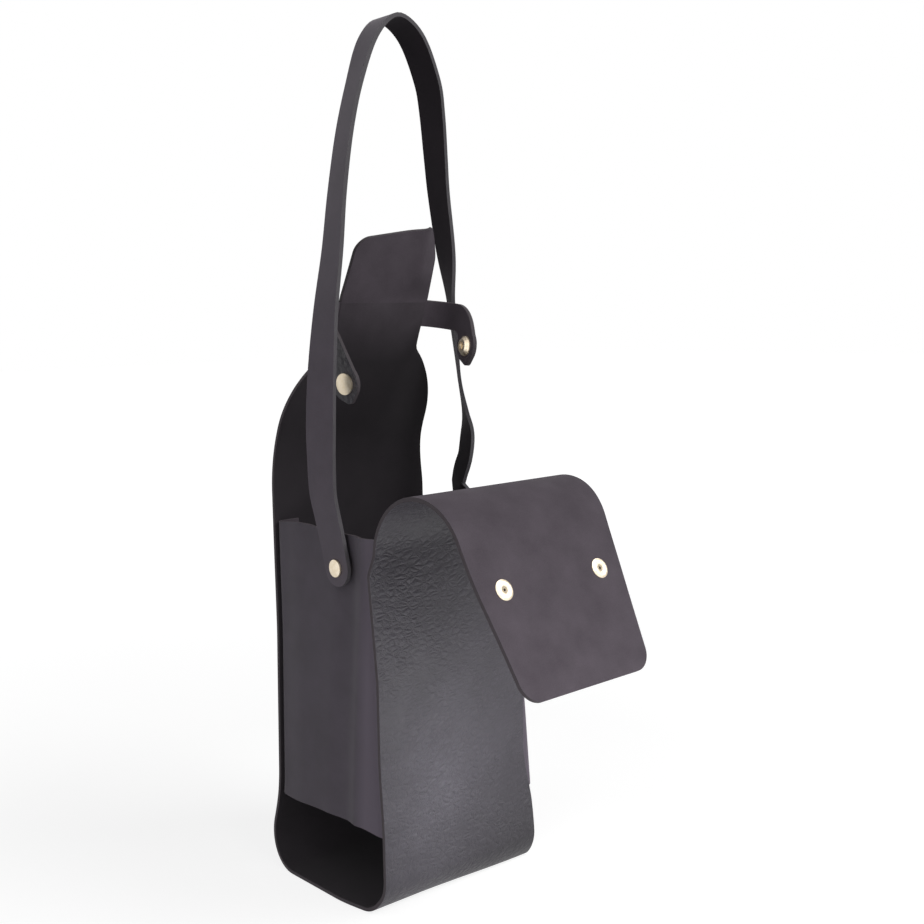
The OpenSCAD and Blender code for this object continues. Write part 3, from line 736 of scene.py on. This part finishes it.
# %% [markdown]
# ## Gussets
# Each gusset is a thinner sheet with a flange folded in at the front and at the back, glued
# inside the wrap. The web isn't flat: behind the front edge it has an upright crease, where it
# folds when the carrier is stored, and it is drawn in a little between the two panels. Low down
# the right one stands out past the front, as a thin sheet does that was pressed from inside.
# The back flange follows the flare of the heel.

# %% Measures of a gusset
GUSSET_T, FOLD_R = 1.6, 2.6
WEB_X, WEB_Y = 50.2, 36.6
FLANGE = 9.6
GUSSET_LOW, GUSSET_TOP = 41.0, 185.0
RIVET_Y, RIVET_Z = -16.0, 169.0
gusset_steps = [[FLANGE, FOLD_R, 90], [2 * WEB_Y, FOLD_R, 90], [FLANGE, 0, 0]]
gusset_len = length_of(gusset_steps)
back_line = [walk(crest_place, nominal, s)[:2] for s in spread(to_heel - 12, lean_end - 40, 2)]
print("gusset is", round(gusset_len, 1), "mm wide in the flat")


def back_shift(z):
    """How far behind its upper part the back panel stands at height z."""
    y = line_through([(b, a) for a, b in back_line], z)
    return max(y - BACK_Y, 0)


# %% Bending a gusset
CREASE_WIDE, CREASE_NARROW = 18.0, 10.0  # the crease runs this far behind the front, less at the top
TUCK, TUCK_LESS = 5.0, 2.0  # the edge at the front is tucked in, less at the top
SWOLLEN, SWOLLEN_LESS = 8.5, 5.0  # and on the right it stands out low down
DRAWN = 2.2  # the web is drawn in below its top
REAR = 1.8  # and rounds off towards the back


def gusset_place(side, crease):
    def place(s, z, n):
        x, y, h = walk((WEB_X - FOLD_R - FLANGE, -WEB_Y - FOLD_R, 0), gusset_steps, s)
        x, y = x - n * sin(radians(h)), y + n * cos(radians(h))
        behind = y + 40
        high = (z - GUSSET_LOW) / (GUSSET_TOP - GUSSET_LOW)
        low = 1 - ramp(high, 0.0, 0.35)
        web_share = ramp(behind, -1, 3) * (1 - ramp(behind, 70, 78))
        # The crease, and the tuck or the swelling in front of it
        width = CREASE_WIDE - CREASE_NARROW * ramp(high, -0.1, 0.9)
        groove = crease * ramp(behind, width, width + 9) * (1 - ramp(behind, width + 9, width + 24))
        slope = sum(min(max(1 - (behind + t) / width, 0), 1.1) for t in (-1.5, -0.5, 0.5, 1.5)) / 4
        out = (SWOLLEN - SWOLLEN_LESS * high / 0.35) * (1 - ramp(high, 0.3, 0.6)) if side > 0 else 0.0
        tuck = (TUCK - TUCK_LESS * high) * slope - out * (1 - ramp(behind, 2, 30))
        # The rest of the web
        drawn = DRAWN * ramp(high, 0.55, 1.0) * sin(pi * min(max(behind / 80, 0), 1))
        x -= (groove + drawn + swell(s, z, 0.5, 11.3 + side)) * web_share
        x -= tuck * (1 - ramp(behind, 30, 40)) + REAR * ramp(behind, 58, 80)
        y += back_shift(z) * ramp(behind, 30, 72)
        # The cut edges at the bottom and the top aren't quite straight.
        front_drop = 7.0 * (1 - ramp(s, FLANGE - 6, FLANGE + 3)) * ramp(high, 0.93, 1.0)
        low_drop = (3.0 * (1 - ramp(behind, 0, 17)) + 2.0 * ramp(behind, 42, 76)) * low
        top_rise = 1.5 * ramp(behind, 35, 55) * (1 - ramp(behind, 60, 79)) * ramp(high, 0.85, 1.0)
        return Vector((side * x, y, z - front_drop - low_drop + top_rise))

    return place


def make_gusset(name, side, crease, node):
    rows = spread(GUSSET_LOW, GUSSET_TOP, 2.4)
    bm = blank(60, len(rows), lambda u, i: ((u + 1) / 2 * gusset_len, rows[i]), GUSSET_T, ease=0.25)
    hole = FLANGE + FOLD_R * pi / 2 + (WEB_Y + RIVET_Y)
    bm = punch(bm, [(hole, RIVET_Z, RIVET_HOLE)])
    gusset = piece(name, bm, gusset_place(side, crease), (inner, web, edge))
    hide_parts(node)
    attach(gusset, "root")


make_gusset("left_gusset_leather", -1, 1.5, "left_gusset")
make_gusset("right_gusset_leather", 1, 1.1, "right_gusset")

# %% [markdown]
# ## Carry strap
# The strap is one ribbon with round ends, riveted flat against both gussets. It has stood and
# hung in a bag, so it doesn't make a clean arch: it bows out, turns and leans. Its route is a
# smooth curve through measured points, each with the turn of the ribbon's width, and it is the
# same route as in the CAD source.

# %% Route of the strap
STRAP_W, STRAP_T, STRAP_X = 18.0, 2.0, 52.3
STRAP_DEEP, STRAP_TALL = 84, 264
route_share = [
    (-1.000, -0.124, 0.078, -2), (-1.040, -0.105, 0.130, -4), (-1.050, -0.105, 0.190, -6),
    (-1.055, -0.115, 0.260, -9), (-1.030, -0.120, 0.355, -6), (-0.955, -0.110, 0.465, 2),
    (-0.835, -0.088, 0.572, 8), (-0.740, -0.068, 0.675, 12), (-0.612, -0.048, 0.784, 14),
    (-0.465, -0.032, 0.872, 14), (-0.270, -0.018, 0.958, 8), (-0.020, -0.010, 1.000, 3),
    (0.262, -0.005, 0.972, 0), (0.470, 0.006, 0.898, 0), (0.570, 0.036, 0.841, 2),
    (0.680, 0.088, 0.758, 5), (0.745, 0.112, 0.689, 8), (0.845, 0.125, 0.576, 14),
    (0.930, 0.148, 0.485, 33), (1.000, 0.158, 0.400, 38), (1.070, 0.170, 0.318, 42),
    (1.140, 0.165, 0.250, 36), (1.135, 0.148, 0.205, 24), (1.088, 0.138, 0.160, 22),
    (1.080, 0.182, 0.125, 22), (1.075, 0.202, 0.093, 24), (1.044, 0.104, 0.060, 11),
    (1.012, -0.035, 0.035, 9)]
route = [Vector((x * STRAP_X, y * STRAP_DEEP, RIVET_Z + z * STRAP_TALL, turn))
         for x, y, z, turn in route_share]


def through(a, b, c, d, t):
    """A point of a smooth curve from b to c, that also heads for a and d."""
    bend, twist = 2 * a - 5 * b + 4 * c - d, 3 * b - a - 3 * c + d
    return 0.5 * (2 * b + (c - a) * t + bend * t * t + twist * t ** 3)


# %% Stations along the strap: centre, direction of the width, direction of the inner face
def end_station(side, lean, d):
    up = Vector((0, sin(radians(lean)), cos(radians(lean))))
    centre = Vector((side * STRAP_X, RIVET_Y, RIVET_Z)) + up * d
    return centre, Vector((0, cos(radians(lean)), -sin(radians(lean)))), Vector((-side, 0, 0))


LEFT_LEAN, RIGHT_LEAN = 15.0, 48.0
plate = (0, 4, 7.5, 10.7)  # the ends lie flat on the gussets this far past the rivets
curve = []
for k in range(len(route) - 1):
    four = [route[min(max(k + j, 0), len(route) - 1)] for j in (-1, 0, 1, 2)]
    curve += [through(*four, t / 6) for t in range(6)]
curve = curve[3:-3]
stations = [end_station(-1, LEFT_LEAN, d) for d in plate]
for k, p in enumerate(curve):
    centre = p.to_3d()
    run = (curve[min(k + 1, len(curve) - 1)].to_3d() - curve[max(k - 1, 0)].to_3d()).normalized()
    wide = Vector((sin(radians(p[3])), cos(radians(p[3])), 0))
    wide = (wide - wide.dot(run) * run).normalized()
    stations.append((centre, wide, wide.cross(run)))
stations += [end_station(1, RIGHT_LEAN, d) for d in reversed(plate)]

marks = [0.0]
for (p, _, _), (q, _, _) in zip(stations, stations[1:]):
    marks.append(marks[-1] + (q - p).length)
print("strap is", round(marks[-1], 1), "mm long between its rivets")


# %% Cutting and bending the strap
def strap_place(x, s, n):
    if s <= 0:
        centre, wide, inward = end_station(-1, LEFT_LEAN, s)
    elif s >= marks[-1]:
        centre, wide, inward = end_station(1, RIGHT_LEAN, marks[-1] - s)
    else:
        k = next(j for j in range(len(marks) - 1) if marks[j + 1] >= s)
        t = (s - marks[k]) / (marks[k + 1] - marks[k])
        t0, t1 = stations[k], stations[k + 1]
        centre, wide, inward = (t0[j].lerp(t1[j], t) for j in range(3))
        wide, inward = wide.normalized(), inward.normalized()
    return centre + wide * x + inward * n


END_R = STRAP_W / 2
round_end = [END_R * cos(radians(a)) for a in (3, 10, 18, 26, 34, 42, 50, 58, 66, 74, 82)]
strap_rows = [-c for c in round_end] + spread(0, marks[-1], 2.6)
strap_rows += [marks[-1] + c for c in reversed(round_end)]


def strap_at(u, i):
    s = strap_rows[i]
    past = max(-s, s - marks[-1], 0)
    return u * sqrt(END_R ** 2 - past ** 2), s


bm = blank(10, len(strap_rows), strap_at, STRAP_T)
bm = punch(bm, [(0, 0, RIVET_HOLE), (0, marks[-1], RIVET_HOLE)])
strap = piece("strap_leather_piece", bm, strap_place, (band_inside, band, strap_edge))
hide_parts("carry_strap")
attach(strap, "strap")

# %% [markdown]
# ## Rivets and snaps
# The CAD already turned these small parts on their own axes, so they stay and only get metal.
# An eyelet is a ring with a hollow middle. The hollow gets little light, so the faces near its
# axis get a darker brass, as painted shade.

# %% Metal on the small parts
for name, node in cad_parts.items():
    if any(word in name for word in ("rivet", "snap", "stud", "eyelet")):
        finish = steel if "spring" in name else brass
        for spot in node.material_slots:
            spot.material = finish
        print(name, "gets", finish.name)

# %% Painted shade in the middle of each eyelet
HOLLOW_R = 1.6
flap_heading = radians(90 + CREST + CREST)
flap_normal = Vector((0, sin(flap_heading), -cos(flap_heading)))
for name in ("left_flap_eyelet", "right_flap_eyelet"):
    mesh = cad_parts[name].data
    middle = sum((v.co for v in mesh.vertices), Vector()) / len(mesh.vertices)
    mesh.materials.append(hollow)
    for face in mesh.polygons:
        off = face.center - middle
        if (off - flap_normal * off.dot(flap_normal)).length < HOLLOW_R * MM:
            face.material_index = len(mesh.materials) - 1
    print(name, "has", sum(face.material_index > 0 for face in mesh.polygons), "dark faces")

# %% [markdown]
# ## Floor, light and camera
# A studio shot on white: a wide soft lamp high on the right, weaker ones in front and on the
# left, and three small low ones where a photographer would stand white cards.
# The floor and the world are white only to the camera and to reflections, and the object itself
# gets a plain level of light. Near the object the floor glows a little less, so its shadow stays.

# %% Floor
def seen_directly(f):
    """1 for what the camera sees straight, in a reflection or through glass, else 0."""
    path = f.add("LightPath").outputs
    indirect = f.maths("MAXIMUM", path["Is Glossy Ray"], path["Is Transmission Ray"])
    return f.maths("MAXIMUM", path["Is Camera Ray"], indirect)


floor_mesh = bmesh.new()
bmesh.ops.create_grid(floor_mesh, x_segments=1, y_segments=1, size=6)
bmesh.ops.translate(floor_mesh, verts=floor_mesh.verts, vec=(0, 0, -0.0004))
mesh = bpy.data.meshes.new("floor")
floor_mesh.to_mesh(mesh)
floor_mesh.free()
floor = put("floor", mesh)
floor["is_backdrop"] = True
f = Finish("white floor")
paper = f.add("BsdfDiffuse", {"Color": (0.30, 0.30, 0.30, 1)}).outputs[0]
place = f.add("TexCoord").outputs["Object"]
away = f.add("VectorMath", {0: place}, operation="LENGTH").outputs["Value"]
strength = f.maths("MULTIPLY", seen_directly(f), f.map(away, 0.25, 1.1, 0.80, 1.0))
glow = f.add("Emission", {"Color": (1, 1, 1, 1), "Strength": strength}).outputs[0]
both = f.add("AddShader", {0: paper, 1: glow}).outputs[0]
f.links.new(both, f.nodes["Material Output"].inputs["Surface"])
floor.data.materials.append(f.material)

# %% World
world = bpy.data.worlds.new("studio")
bpy.context.scene.world = world
f = Finish("studio", world)
f.nodes.clear()
room = f.add("Background", {"Color": (0.95, 0.97, 1.0, 1), "Strength": 0.06}).outputs[0]
white = f.add("Background", {"Color": (1, 1, 1, 1), "Strength": 1.0}).outputs[0]
choose = f.add("MixShader", {0: seen_directly(f), 1: room, 2: white}).outputs[0]
f.links.new(choose, f.add("OutputWorld").inputs["Surface"])


# %% Lamps
def lamp(name, spot, target, size, watts):
    data = bpy.data.lights.new(name, "AREA")
    data.shape, data.energy = "RECTANGLE", watts
    data.size, data.size_y = size
    obj = put(name, data)
    obj.location = spot
    obj.rotation_euler = (Vector(target) - Vector(spot)).to_track_quat("-Z", "Y").to_euler()
    obj.visible_camera = False


BODY_MIDDLE, SOFT = (0, -0.03, 0.18), (0.8, 0.8)
lamp("key", (0.61, -0.90, 1.24), BODY_MIDDLE, SOFT, 15.5)
lamp("front", (0, -1.33, 0.93), BODY_MIDDLE, SOFT, 2.5)
lamp("near left", (-1.18, -0.71, 0.81), BODY_MIDDLE, SOFT, 3.0)
lamp("high left", (-0.85, 0.12, 1.41), BODY_MIDDLE, SOFT, 4.0)
lamp("card", (-0.04, -0.28, 0.07), (-0.02, -0.04, 0.07), (0.16, 0.12), 0.18)
lamp("low shine", (0.08, -0.21, 0.04), (-0.03, -0.04, 0.08), (0.08, 0.06), 0.08)
lamp("left card", (-0.30, -0.20, 0.08), (-0.05, -0.03, 0.08), (0.16, 0.14), 0.27)
print(len(bpy.data.lights), "lamps")

# %% Camera
AZ, EL, TILT = radians(-42.31), radians(7.07), radians(-0.98)
AIM_RIGHT, AIM_UP, DISTANCE = 32.35, 213.22, 631.35
SENSOR, PICTURE, FOCAL = 36, 924, 1232.58  # the sensor in mm, and the other two in pixels
back = Vector((sin(AZ) * cos(EL), -cos(AZ) * cos(EL), sin(EL)))
right = Vector((cos(AZ), sin(AZ), 0))
above = back.cross(right)
eye = (right * AIM_RIGHT + Vector((0, 0, AIM_UP)) + back * DISTANCE) * MM
tilted_right = right * cos(TILT) + above * sin(TILT)
tilted_above = above * cos(TILT) - right * sin(TILT)
data = bpy.data.cameras.new("camera")
data.lens, data.sensor_width = FOCAL * SENSOR / PICTURE, SENSOR
data.clip_start, data.clip_end = 0.01, 50
camera = put("camera", data)
camera.matrix_world = Matrix((tilted_right, tilted_above, back)).transposed().to_4x4()
camera.location = eye
bpy.context.scene.camera = camera
bpy.context.scene.view_settings.view_transform = "Standard"
print("camera stands at", [round(c, 3) for c in eye])

# %% Sizes: how far the model grew past the CAD's box
model_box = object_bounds()
grown = [[round((m - c) / MM, 2) for m, c in zip(*pair)] for pair in zip(model_box, cad_box)]
print("grown by, in mm:", grown)
